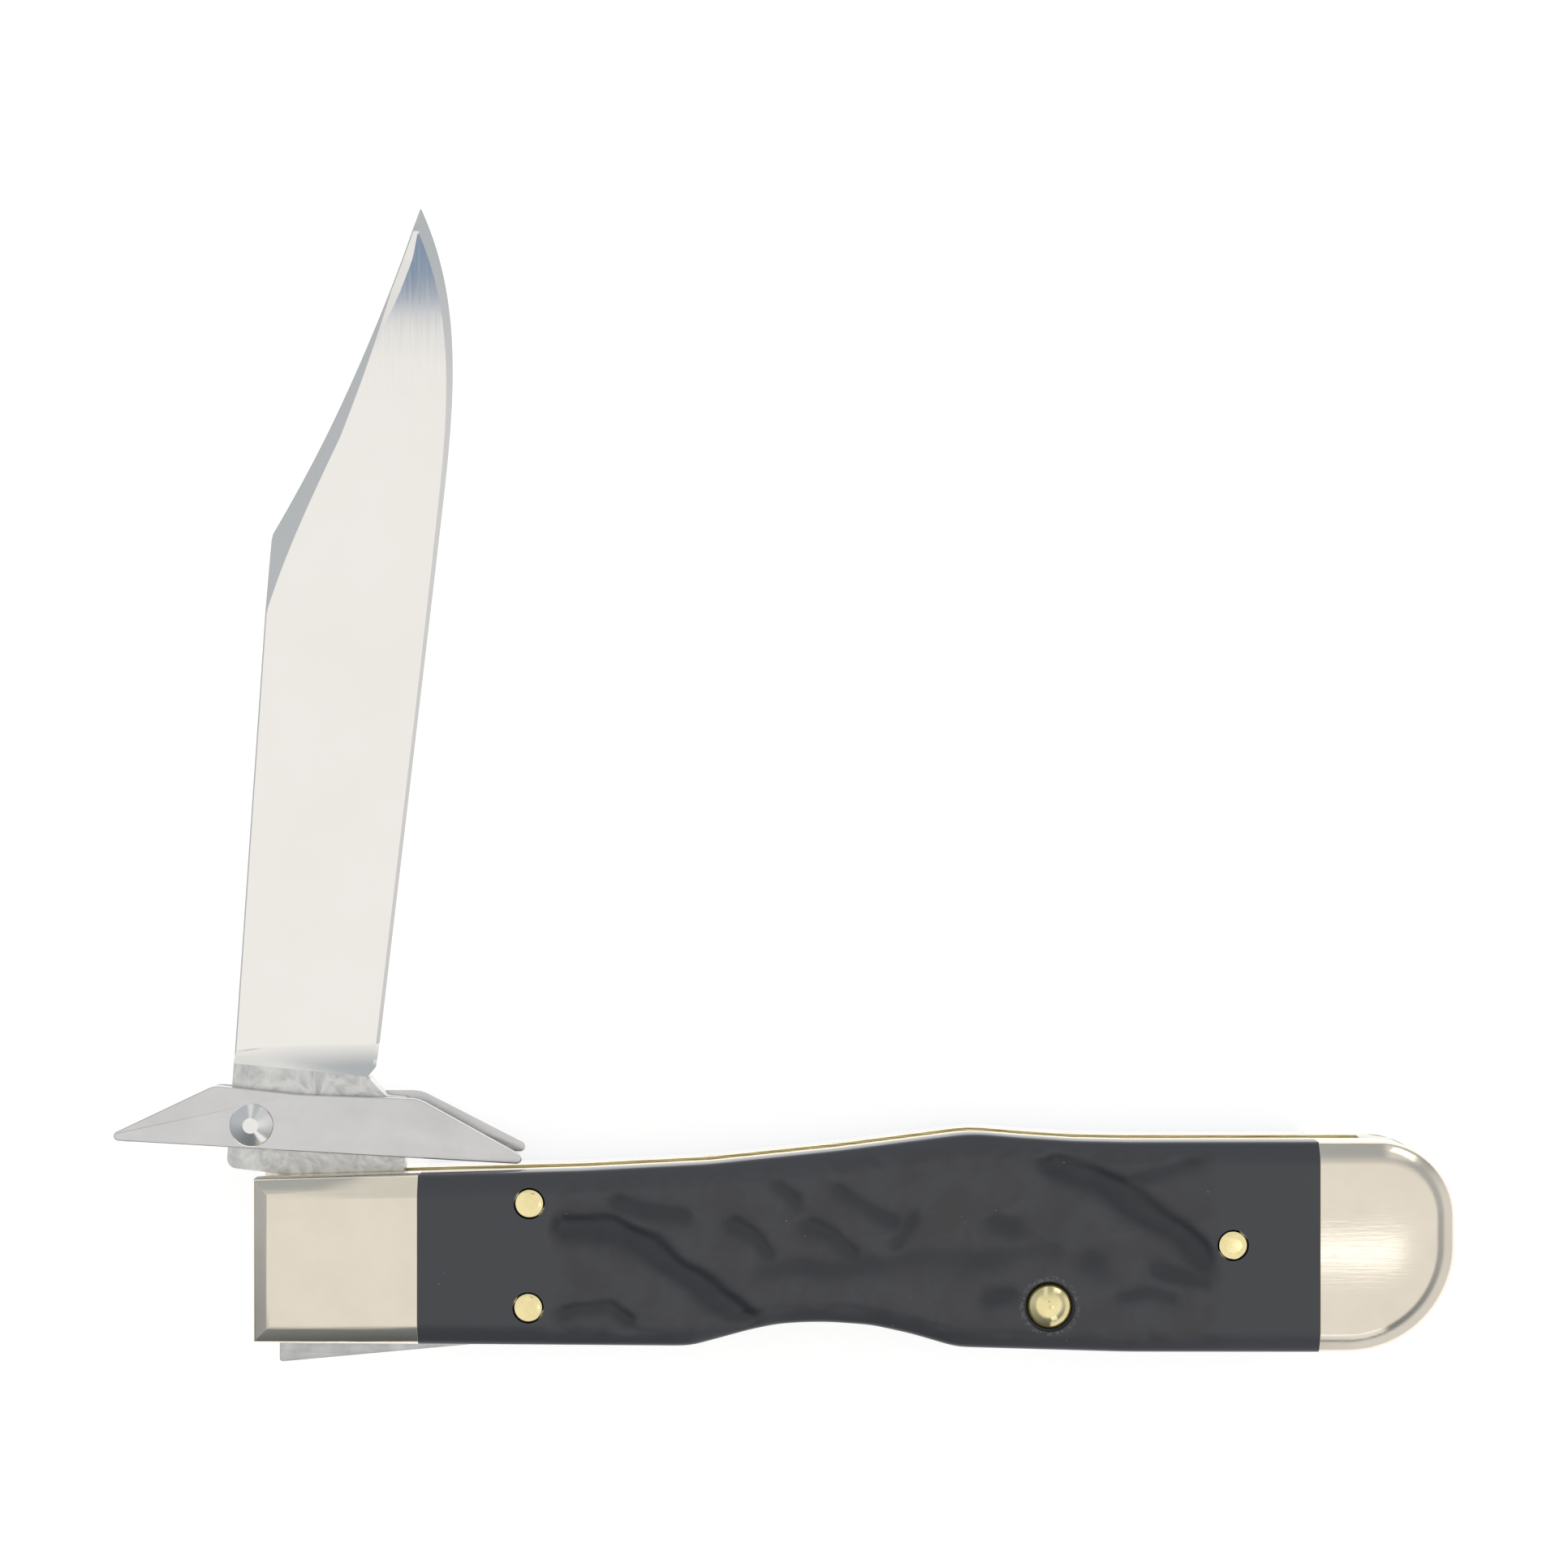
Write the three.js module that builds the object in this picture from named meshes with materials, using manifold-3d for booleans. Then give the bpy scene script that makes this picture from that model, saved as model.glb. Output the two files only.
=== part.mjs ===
import * as THREE from 'three';
import { mergeVertices } from 'three/addons/utils/BufferGeometryUtils.js';
import Module from 'manifold-3d';

// Folding pocket knife with a lock bar in the back of the handle and a swinging guard.
// Millimetres. The knife lies on its far side, Z is the thickness, X runs along the handle
// to the butt and Y to the side that the blade folds into. The pivot axis is at X = Y = 0.
// The blade is half open, as the knife is shown.

const wasm = await Module();
wasm.setup();

// Thicknesses through the handle
const handleThickness = 12.8;
const slotWidth = 2.9;
const linerThickness = 0.9;
const bladeThickness = 2.6;
const barThickness = 2.6;
const springWidth = 2.3;
const guardPlateThickness = 0.9;
const guardPlateGap = 0.05;

// Handle outline: corners as x, y and radius, counter-clockwise from the lower front
const handleFront = -6.8;
const handleRear = 104.3;
const backFront = -10.05;
const backRear = -10.93;
const mouthFront = 5.05;
const mouthRear = 8.5;
const thumbCutDepth = 8.15;
const handleCorners = [
  [handleFront, backFront, 0],
  [33.6, -10.35, 2.5],
  [41.7, -thumbCutDepth, 19],
  [50.4, -thumbCutDepth, 26],
  [58.2, -10.45, 2.5],
  [74, -10.9, 60],
  [handleRear, backRear, 9.9],
  [handleRear, mouthRear, 7],
  [69.1, 8.47, 118],
  [59.6, 9.28, 12],
  [35.4, 6.14, 230],
  [handleFront, mouthFront, 0],
];
const frontBolsterLength = 15.3;
const rearBolsterLength = 12.6;
const edgeRoundWidth = 1.5;
const edgeRoundDepth = 1.6;
const edgeRoundSteps = 4;

// Pins, each as its place and radius
const pinSides = 24;
const pinClearance = 0.05;
const pivotRadius = 1.8;
const pinCover = 1.5;
const rockerPlace = [18.7, -6.7];
const rockerRadius = 1.3;
const springPinSetback = 13.2;
const springPinY = -6.6;
const springPinRadius = 0.9;
const springPinHeadRadius = 2.15;
const springPinHeadSink = 0.9;
const springPinHeadGap = 0.2;
const rivetRadius = 1.3;
const frontRivetPlace = [18.8, 2.9];
const rearRivetSetback = 8;
const rearRivetY = -0.95;
const rearPinSetback = 4.1;
const rearPinY = -1;
const rearPinRadius = 1;
const headDrop = 0.06;

// Blade in its own frame: u across it to the cutting edge, v along it from the pivot to the tip
const bladeTilt = 3.95;
const openAngle = 92;
const closeAngle = 85.5;
const spineAt = -10.24;
const plungeAt = 14.5;
const tipSetback = 8.27;
const tipAcross = 1.56;
const clipLength = 31.7;
const clipBendLength = 17.9;
const clipBendAcross = -3.18;
const edgeHeel = [3.04, 15.5];
const bellyLength = 33.5;
const bellyAcross = 5.31;
const bellyBendLengths = [20.9, 9.8];
const bellyBendsAcross = [5.84, 6.98];
const choil = [2.42, 14.3];
const kickTop = 12.7;
const kickSide = 6.35;
const kickFoot = -0.8;
const edgeThickness = 0.5;
const edgeBevelWidth = 0.7;
const swedgeWidth = 3.4;
const swedgeThickness = 0.7;
const tipThickness = 0.9;
const bladeSteps = 26;

// Rounded part of the tang below the pivot, as radii from the pivot
const lugRadius = 6.3;
const camRadius = 4.8;
const lugEnd = 200;
const camStart = 232;
const camEnd = 329;
const camStep = 8;

// Lock bar, drawn flush with the back of the handle
const barLift = 5.2;
const lockGap = 0.1;
const barBack = -10.3;
const barInner = -6.5;
const toothTop = -4.4;
const toothFront = -4.79;
const toothRear = -2.4;
const barRear = 53.6;
const barTailInner = -9;
const barTailStart = 44;
const barBodyEnd = 28;
const barBossRadius = 2.3;

// Back spacer and lock spring
const bladeWellGap = 0.35;
const spacerFrontGap = 0.8;
const springThickness = 0.7;
const springRootSetback = 5.4;
const springRootLength = 5.3;
const springRootY = -6.2;
const springRootGap = 0.05;
const springTipX = 50.5;
const springTipRun = 4;
const springTipGap = 0.3;

// Guard, two plates on a domed pin; a plate's frame has its pin at the origin
const guardPinPlace = [-7.4, 9.76];
const guardPinRadius = 1.1;
const guardHeadRadius = 2;
const guardHeadHeight = 0.75;
const guardHeadFlat = 0.85;
const guardHeadGap = 0.05;
const guardNearTilt = -3.3;
const guardFarTilt = -1.4;
const guardLowerEdge = -2.2;
const guardCorners = [
  [-14.17, guardLowerEdge, 0.46],
  [26.98, guardLowerEdge, 0.48],
  [15.4, 3.35, 3],
  [4.5, 3.1, 20],
  [-3.7, 3.5, 1.8],
];

const middle = handleThickness / 2;
const linerInner = slotWidth / 2;
const linerOuter = linerInner + linerThickness;
const frontJoint = handleFront + frontBolsterLength;
const rearJoint = handleRear - rearBolsterLength;
const springPinPlace = [barRear + springPinSetback, springPinY];
const rearRivetPlace = [rearJoint - rearRivetSetback, rearRivetY];
const rearPinPlace = [handleRear - rearPinSetback, rearPinY];
const springRootStart = barRear + springRootSetback;
const bladeLength = handleRear - tipSetback;
const bladeTip = [tipAcross, bladeLength];
const clipStart = bladeLength - clipLength;
const farAway = 200;
const guardSweepRadius = guardLineRadius() - 0.12;

// Materials
const steel = new THREE.MeshStandardMaterial({ color: 0xc9c9c9, roughness: 0.3, metalness: 1 });
const springSteel = new THREE.MeshStandardMaterial({ color: 0x8d9096, roughness: 0.4, metalness: 1 });
const nickelSilver = new THREE.MeshStandardMaterial({ color: 0xdcd6c6, roughness: 0.2, metalness: 1 });
const brass = new THREE.MeshStandardMaterial({ color: 0xd8c377, roughness: 0.3, metalness: 1 });
const blackScale = new THREE.MeshStandardMaterial({ color: 0x3a3b3e, roughness: 0.5, metalness: 0 });

// A point turned counter-clockwise about the pivot axis, or about another centre
function turn([x, y], degrees, [cx, cy] = [0, 0]) {
  const a = THREE.MathUtils.degToRad(degrees);
  const dx = x - cx;
  const dy = y - cy;
  return [cx + dx * Math.cos(a) - dy * Math.sin(a), cy + dx * Math.sin(a) + dy * Math.cos(a)];
}

// Distance from the pivot axis to the guard's lower edge line, the nearer of the two plates
function guardLineRadius() {
  const radii = [guardNearTilt, guardFarTilt].map((tilt) => {
    const [, y] = turn([-guardPinPlace[0], -guardPinPlace[1]], -tilt);
    return Math.abs(y - guardLowerEdge);
  });
  return Math.min(...radii);
}

// Points of an outline whose corners are rounded by arcs of the given radii
function rounded(corners) {
  const points = [];
  corners.forEach(([x, y, radius = 0], i) => {
    const corner = new THREE.Vector2(x, y);
    if (radius === 0) {
      points.push(corner);
      return;
    }
    const before = new THREE.Vector2(...corners.at(i - 1)).sub(corner);
    const after = new THREE.Vector2(...corners[(i + 1) % corners.length]).sub(corner);
    const turnAngle = Math.PI - Math.abs(before.angleTo(after));
    const reach = radius * Math.tan(turnAngle / 2);
    const start = corner.clone().addScaledVector(before.normalize(), reach);
    const end = corner.clone().addScaledVector(after.normalize(), reach);
    const left = Math.sign(before.cross(after)) < 0 ? 1 : -1;
    const centre = start.clone().add(new THREE.Vector2(before.y, -before.x).multiplyScalar(radius * left));
    const steps = Math.max(2, Math.ceil(turnAngle / 0.35), Math.ceil(Math.sqrt(radius) * turnAngle));
    for (let k = 0; k <= steps; k += 1) {
      points.push(start.clone().rotateAround(centre, (left * turnAngle * k) / steps));
    }
    if (points.at(-1).distanceTo(end) > 0.01) throw new Error(`corner ${i} isn't tangent`);
  });
  return points;
}

// A three.js geometry as a solid
function solid(geometry) {
  const plain = geometry.index ? geometry.toNonIndexed() : geometry.clone();
  plain.deleteAttribute('normal');
  plain.deleteAttribute('uv');
  const merged = mergeVertices(plain, 1e-5);
  const mesh = new wasm.Mesh({
    numProp: 3,
    vertProperties: merged.attributes.position.array,
    triVerts: new Uint32Array(merged.index.array),
  });
  return new wasm.Manifold(mesh);
}

// A solid as a named mesh
function piece(name, body, material) {
  const { vertProperties, triVerts } = body.getMesh();
  const geometry = new THREE.BufferGeometry();
  geometry.setAttribute('position', new THREE.BufferAttribute(vertProperties, 3));
  geometry.setIndex(new THREE.BufferAttribute(triVerts, 1));
  geometry.computeVertexNormals();
  const mesh = new THREE.Mesh(geometry, material);
  mesh.name = name;
  return mesh;
}

// A flat plate of the outline between two heights
function plate(points, low, high) {
  const shape = new THREE.Shape(points.map((p) => new THREE.Vector2(...p)));
  const geometry = new THREE.ExtrudeGeometry(shape, { depth: high - low, bevelEnabled: false });
  return solid(geometry.translate(0, 0, low));
}

function box(x0, x1, y0, y1, z0, z1) {
  const geometry = new THREE.BoxGeometry(x1 - x0, y1 - y0, z1 - z0);
  return solid(geometry.translate((x0 + x1) / 2, (y0 + y1) / 2, (z0 + z1) / 2));
}

function rod([x, y], radius, low, high) {
  const geometry = new THREE.CylinderGeometry(radius, radius, high - low, pinSides);
  return solid(geometry.rotateX(Math.PI / 2).translate(x, y, (low + high) / 2));
}

// A turned piece on an axis along Z; the profile is radius and height, from the axis to the axis
function turned([x, y], profile) {
  const points = profile.map(([radius, height]) => new THREE.Vector2(radius, height));
  const geometry = new THREE.LatheGeometry(points, pinSides);
  return solid(geometry.rotateX(Math.PI / 2).translate(x, y, 0));
}

// Heights of the near side (+1) or the far side (-1) from depths measured from the middle
function heights(side, inner, outer) {
  return [middle + side * inner, middle + side * outer].sort((a, b) => a - b);
}

// The outline moved inward by a distance, point by point
function inset(points, distance) {
  return points.map((point, i) => {
    const before = point.clone().sub(points.at(i - 1)).normalize();
    const after = points[(i + 1) % points.length].clone().sub(point).normalize();
    const inward = new THREE.Vector2(-before.y - after.y, before.x + after.x).normalize();
    const stretch = 1 / Math.sqrt((1 + before.dot(after)) / 2);
    return point.clone().addScaledVector(inward, distance * stretch);
  });
}

// A solid of flat rings with equal counts of points, each [x, y, z], joined in order and closed.
// The rings' points run counter-clockwise, seen against the direction that the rings go in.
function stack(rings) {
  const count = rings[0].length;
  const indices = [];
  for (let r = 0; r < rings.length - 1; r += 1) {
    for (let i = 0; i < count; i += 1) {
      const a = r * count + i;
      const b = r * count + ((i + 1) % count);
      indices.push(a, b, b + count, a, b + count, a + count);
    }
  }
  const upright = rings[0].every(([, y]) => y === rings[0][0][1]);
  const flat = (ring) => ring.map(([x, y, z]) => new THREE.Vector2(upright ? z : x, upright ? x : y));
  const last = (rings.length - 1) * count;
  THREE.ShapeUtils.triangulateShape(flat(rings[0]), []).forEach(([a, b, c]) => indices.push(c, b, a));
  THREE.ShapeUtils.triangulateShape(flat(rings.at(-1)), [])
    .forEach(([a, b, c]) => indices.push(last + a, last + b, last + c));
  const geometry = new THREE.BufferGeometry();
  geometry.setAttribute('position', new THREE.Float32BufferAttribute(rings.flat(2), 3));
  geometry.setIndex(indices);
  return solid(geometry);
}

// One side's bolsters and scale as a single slab with its outer edge rounded
function coverSlab(side) {
  const outline = rounded(handleCorners);
  const levels = [[0, linerOuter]];
  for (let i = 0; i <= edgeRoundSteps; i += 1) {
    const angle = (Math.PI / 2) * (i / edgeRoundSteps);
    const distance = edgeRoundWidth * (1 - Math.cos(angle));
    levels.push([distance, middle - edgeRoundDepth + edgeRoundDepth * Math.sin(angle)]);
  }
  if (side < 0) levels.reverse();
  return stack(levels.map(([distance, depth]) =>
    inset(outline, distance).map((p) => [p.x, p.y, middle + side * depth])));
}

function hole(place, radius, low = -farAway, high = farAway) {
  return rod(place, radius + pinClearance, low, high);
}

// Recess round the domed head of the spring pin
function headRecess(side) {
  const [low, high] = heights(side, middle - springPinHeadSink, middle + 1);
  return rod(springPinPlace, springPinHeadRadius + springPinHeadGap, low, high);
}

function bolsterAndScale(side) {
  const word = side > 0 ? 'near' : 'far';
  const slab = coverSlab(side);
  const length = (from, to) => slab.intersect(box(from, to, -farAway, farAway, -farAway, farAway));
  const [low, high] = heights(side, 0, middle - pinCover);
  const front = length(-farAway, frontJoint).subtract(hole([0, 0], pivotRadius, low, high));
  const rear = length(rearJoint, farAway).subtract(hole(rearPinPlace, rearPinRadius, low, high));
  const scale = length(frontJoint, rearJoint)
    .subtract(hole(rockerPlace, rockerRadius))
    .subtract(hole(springPinPlace, springPinRadius))
    .subtract(headRecess(side))
    .subtract(hole(frontRivetPlace, rivetRadius))
    .subtract(hole(rearRivetPlace, rivetRadius));
  return [
    piece(`front_bolster_${word}`, front, nickelSilver),
    piece(`scale_${word}`, scale, blackScale),
    piece(`rear_bolster_${word}`, rear, nickelSilver),
  ];
}

// Brass liner; its upper front corner is rounded about the pivot, where the guard plates pass
function liner(side) {
  const [low, high] = heights(side, linerInner, linerOuter);
  const corner = box(-farAway, 0, 0, farAway, low - 1, high + 1);
  const keep = rod([0, 0], guardSweepRadius, low - 1, high + 1);
  const body = plate(rounded(handleCorners), low, high)
    .subtract(corner.subtract(keep))
    .subtract(hole([0, 0], pivotRadius))
    .subtract(hole(rockerPlace, rockerRadius))
    .subtract(hole(springPinPlace, springPinRadius))
    .subtract(hole(frontRivetPlace, rivetRadius))
    .subtract(hole(rearRivetPlace, rivetRadius))
    .subtract(hole(rearPinPlace, rearPinRadius));
  return piece(side > 0 ? 'liner_near' : 'liner_far', body, brass);
}

// Cutting edge in the blade's frame, from heel to tip
function edgePath() {
  return new THREE.Path()
    .moveTo(...edgeHeel)
    .lineTo(bellyAcross, bladeLength - bellyLength)
    .bezierCurveTo(
      bellyBendsAcross[0], bladeLength - bellyBendLengths[0],
      bellyBendsAcross[1], bladeLength - bellyBendLengths[1],
      ...bladeTip,
    );
}

// Spine in the blade's frame, from the plunge line to the tip
function spinePath() {
  return new THREE.Path()
    .moveTo(spineAt, plungeAt)
    .lineTo(spineAt, clipStart)
    .quadraticCurveTo(clipBendAcross, bladeLength - clipBendLength, ...bladeTip);
}

// Place across the blade at a distance v along it, on a sampled path
function across(points, v) {
  const i = points.findIndex((p) => p.y >= v);
  if (i <= 0) return points.at(i).x;
  const share = (v - points[i - 1].y) / (points[i].y - points[i - 1].y);
  return THREE.MathUtils.lerp(points[i - 1].x, points[i].x, share);
}

// Flat-ground blade: each section tapers from the spine line to the bevelled edge,
// and along the clip the spine is thinned by a swedge
function groundBlade() {
  const spine = spinePath().getPoints(16);
  const edge = edgePath().getPoints(16);
  const start = edgeHeel[1];
  const end = bladeTip[1];
  const rings = [];
  for (let i = 0; i <= bladeSteps; i += 1) {
    const along = 1 - (1 - i / bladeSteps) ** 1.25;
    const v = THREE.MathUtils.lerp(start, end - 0.12, along);
    const left = across(spine, v);
    const right = across(edge, v);
    const width = right - left;
    const spineHalf = THREE.MathUtils.lerp(bladeThickness, tipThickness * 2, along) / 2;
    const bevel = Math.min(edgeBevelWidth, width * 0.3);
    const swedge = v > clipStart ? Math.min(swedgeWidth, width * 0.35, (v - clipStart) * 0.8 + 0.2) : 0.2;
    const edgeHalf = Math.min(edgeThickness / 2, spineHalf * 0.5);
    const halfAt = (u) => THREE.MathUtils.mapLinear(u, spineAt, right - bevel, spineHalf, edgeHalf);
    const backHalf = v > clipStart
      ? Math.min(halfAt(left), Math.max(swedgeThickness / 2, halfAt(left) - (v - clipStart) * 0.12))
      : halfAt(left);
    const near = [
      [left, backHalf],
      [left + swedge, halfAt(left + swedge)],
      [right - bevel, edgeHalf],
      [right, 0.03],
    ];
    const far = near.map(([u, half]) => [u, -half]).reverse();
    rings.push([...near, ...far].map(([u, half]) => [u, v, half]));
  }
  return stack(rings);
}

// Radius of the tang's underside: a round lug behind the lock notch, falling to the cam
function tangRadius(degrees) {
  const share = THREE.MathUtils.smoothstep(degrees, lugEnd, camStart);
  return THREE.MathUtils.lerp(lugRadius, camRadius, share);
}

// A point drawn with the blade open, brought back into the blade's frame
function fromOpen(point) {
  return turn(point, bladeTilt - openAngle);
}

// Front face of the lock bar when flush: its place at a height, vertical when the bar is lifted
function barFront(y) {
  return toothFront - (toothTop - y) * Math.tan(THREE.MathUtils.degToRad(barLift));
}

// Tang outline in the blade's frame, with the notch that the lock bar's tooth drops into
function tangOutline() {
  const shoulder = fromOpen([barFront(barInner) - lockGap, barInner]);
  const notchFront = fromOpen([barFront(toothTop) - lockGap, toothTop + lockGap]);
  const notchRear = fromOpen([toothRear + lockGap, toothTop + lockGap]);
  const wallX = toothRear + lockGap;
  const lugCorner = fromOpen([wallX, -Math.sqrt(lugRadius ** 2 - wallX ** 2)]);
  const rise = (notchFront[1] - shoulder[1]) / (notchFront[0] - shoulder[0]);
  const lowerLeft = [spineAt, shoulder[1] + (spineAt - shoulder[0]) * rise];
  const lugStart = THREE.MathUtils.radToDeg(Math.atan2(lugCorner[1], lugCorner[0]));
  const under = [];
  const stepCount = Math.ceil((camEnd - lugStart) / camStep);
  for (let i = 0; i <= stepCount; i += 1) {
    const degrees = THREE.MathUtils.lerp(lugStart, camEnd, i / stepCount);
    under.push(turn([tangRadius(degrees), 0], degrees));
  }
  return rounded([
    [spineAt, plungeAt, 0],
    [...lowerLeft, 0.9],
    [...notchFront, 0],
    [...notchRear, 0],
    ...under,
    [kickSide, kickFoot, 0.6],
    [kickSide, kickTop, 0.6],
    [choil[0] + 1.8, kickTop, 0.5],
    [...choil, 0.5],
    [edgeHeel[0], edgeHeel[1], 0],
    [edgeHeel[0] - 2, edgeHeel[1] + 0.4, 0],
    [spineAt, edgeHeel[1] + 0.4, 0],
  ]);
}

function blade() {
  const half = bladeThickness / 2;
  const guardHole = turn(guardPinPlace, bladeTilt);
  const tangLimit = box(-farAway, farAway, -farAway, edgeHeel[1] + 0.02, -half, half);
  const body = plate(tangOutline(), -half, half)
    .intersect(tangLimit)
    .add(groundBlade())
    .subtract(hole([0, 0], pivotRadius))
    .subtract(hole(guardHole, guardPinRadius));
  const mesh = piece('blade', body, steel);
  mesh.rotation.z = THREE.MathUtils.degToRad(-bladeTilt);
  mesh.position.z = middle;
  return mesh;
}

// Lock bar in its flush place, with a tooth at the front and a boss round the rocker pin
function barOutline() {
  return rounded([
    [barFront(barBack), barBack, 0.3],
    [barRear, barBack, 0.5],
    [barRear, barTailInner, 0.5],
    [barTailStart, barTailInner, 8],
    [barBodyEnd, barInner, 8],
    [toothRear, barInner, 0.4],
    [toothRear, toothTop, 0.2],
    [toothFront, toothTop, 0.2],
  ]);
}

function lockBar() {
  const half = barThickness / 2;
  const body = plate(barOutline(), -half, half)
    .add(rod(rockerPlace, barBossRadius, -half, half))
    .subtract(hole(rockerPlace, rockerRadius))
    .translate(-rockerPlace[0], -rockerPlace[1], 0);
  const mesh = piece('lock_bar', body, steel);
  mesh.position.set(...rockerPlace, middle);
  mesh.rotation.z = THREE.MathUtils.degToRad(barLift);
  return mesh;
}

// The blade's place in the slot when closed, grown by the well gap, open towards the mouth
function bladeWell() {
  const closed = edgePath().getPoints(10)
    .map((p) => turn([p.x, p.y], -bladeTilt - closeAngle))
    .map(([x, y]) => [x, y - bladeWellGap]);
  const tip = closed.at(-1);
  const ahead = bladeWellGap / 2;
  return [
    [-farAway, closed[0][1]],
    ...closed,
    [tip[0] + ahead, tip[1] + ahead],
    [tip[0] + ahead, farAway],
    [-farAway, farAway],
  ];
}

// Steel filler between the liners at the butt, with the slit that holds the lock spring
function backSpacer() {
  const [low, high] = heights(1, -linerInner, linerInner);
  const front = barRear + spacerFrontGap;
  const slitHalf = springThickness / 2 + springRootGap;
  const slit = box(front - 1, springRootStart + springRootLength, springRootY - slitHalf,
    springRootY + slitHalf, low - 1, high + 1);
  const springRoom = plate([
    [front - 1, barTailInner - 0.6],
    [springRootStart, springRootY - slitHalf - 0.25],
    [springRootStart, farAway],
    [front - 1, farAway],
  ], low - 1, high + 1);
  const body = plate(rounded(handleCorners), low, high)
    .subtract(box(-farAway, front, -farAway, farAway, low - 1, high + 1))
    .subtract(plate(bladeWell(), low - 1, high + 1))
    .subtract(springRoom)
    .subtract(slit)
    .subtract(hole(springPinPlace, springPinRadius))
    .subtract(hole(rearPinPlace, rearPinRadius));
  return piece('back_spacer', body, steel);
}

// Leaf spring from its slit in the spacer to the lifted tail of the lock bar
function lockSpring() {
  const above = springTipGap + springThickness / 2;
  const tip = turn([springTipX, barTailInner + above], barLift, rockerPlace);
  const tipBend = turn([springTipX + springTipRun, barTailInner + above], barLift, rockerPlace);
  const line = new THREE.CubicBezierCurve(
    new THREE.Vector2(springRootStart, springRootY),
    new THREE.Vector2(springRootStart - springTipRun / 2, springRootY),
    new THREE.Vector2(...tipBend),
    new THREE.Vector2(...tip),
  ).getPoints(8);
  line.unshift(new THREE.Vector2(springRootStart + springRootLength - springRootGap, springRootY));
  const half = springThickness / 2;
  const side = (sign) => line.map((p, i) => {
    const ahead = line[Math.min(i + 1, line.length - 1)];
    const behind = line[Math.max(i - 1, 0)];
    const across = ahead.clone().sub(behind).normalize();
    return [p.x - sign * across.y * half, p.y + sign * across.x * half];
  });
  const outline = [...side(1), ...side(-1).reverse()];
  return piece('lock_spring', plate(outline, middle - springWidth / 2, middle + springWidth / 2), springSteel);
}

function plainPin(name, place, radius, low, high, material) {
  return piece(name, rod(place, radius, low, high), material);
}

// A pin whose ends are covered by the bolsters' outer skin
function hiddenPin(name, place, radius) {
  const low = pinCover + pinClearance;
  return plainPin(name, place, radius, low, handleThickness - low, nickelSilver);
}

// Through pin of the spacer with a low dome on each end, sunk in its recess in the scale
function springPin() {
  const top = middle - headDrop;
  const seat = middle - springPinHeadSink + 0.02;
  const dome = (side) => [
    [springPinRadius, middle + side * seat],
    [springPinHeadRadius, middle + side * seat],
    [springPinHeadRadius, middle + side * (seat + 0.3)],
    [springPinHeadRadius * 0.8, middle + side * (top - 0.18)],
    [springPinHeadRadius * 0.45, middle + side * (top - 0.04)],
  ];
  const profile = [
    [0, middle - top],
    ...dome(-1).reverse(),
    ...dome(1),
    [0, middle + top],
  ];
  return piece('spring_pin', turned(springPinPlace, profile), brass);
}

function scaleRivets() {
  const places = { front: frontRivetPlace, rear: rearRivetPlace };
  return Object.entries(places).flatMap(([word, place]) => [-1, 1].map((side) => {
    const [low, high] = heights(side, linerInner, middle - headDrop);
    return plainPin(`scale_rivet_${word}_${side > 0 ? 'near' : 'far'}`, place, rivetRadius, low, high, brass);
  }));
}

// Guard pin through the tang and both plates, with a coned and flattened head on each end
function guardPin() {
  const seat = bladeThickness / 2 + guardPlateGap + guardPlateThickness + guardHeadGap;
  const head = (side) => [
    [guardPinRadius, side * seat],
    [guardHeadRadius, side * seat],
    [guardHeadRadius, side * (seat + 0.2)],
    [guardHeadFlat, side * (seat + guardHeadHeight)],
  ];
  const profile = [
    [0, -seat - guardHeadHeight],
    ...head(-1).reverse(),
    ...head(1),
    [0, seat + guardHeadHeight],
  ];
  const mesh = piece('guard_pin', turned([0, 0], profile), steel);
  mesh.position.set(...guardPinPlace, middle);
  return mesh;
}

function guardPlate(side) {
  const inner = bladeThickness / 2 + guardPlateGap;
  const [low, high] = [side * inner, side * (inner + guardPlateThickness)].sort((a, b) => a - b);
  const body = plate(rounded(guardCorners), low, high).subtract(hole([0, 0], guardPinRadius));
  const mesh = piece(side > 0 ? 'guard_plate_near' : 'guard_plate_far', body, steel);
  mesh.position.set(...guardPinPlace, middle);
  mesh.rotation.z = THREE.MathUtils.degToRad(side > 0 ? guardNearTilt : guardFarTilt);
  return mesh;
}

const knife = new THREE.Group();
knife.add(liner(-1), liner(1));
knife.add(...bolsterAndScale(-1), ...bolsterAndScale(1));
knife.add(backSpacer(), lockSpring(), springPin());
knife.add(hiddenPin('rear_bolster_pin', rearPinPlace, rearPinRadius));
knife.add(...scaleRivets());
knife.add(plainPin('rocker_pin', rockerPlace, rockerRadius,
  headDrop, handleThickness - headDrop, brass));
knife.add(lockBar());
knife.add(hiddenPin('pivot_pin', [0, 0], pivotRadius));
knife.add(blade(), guardPin(), guardPlate(-1), guardPlate(1));

export default knife;
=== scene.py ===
import math

import bmesh
import bpy
import numpy as np
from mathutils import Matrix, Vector, noise


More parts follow.
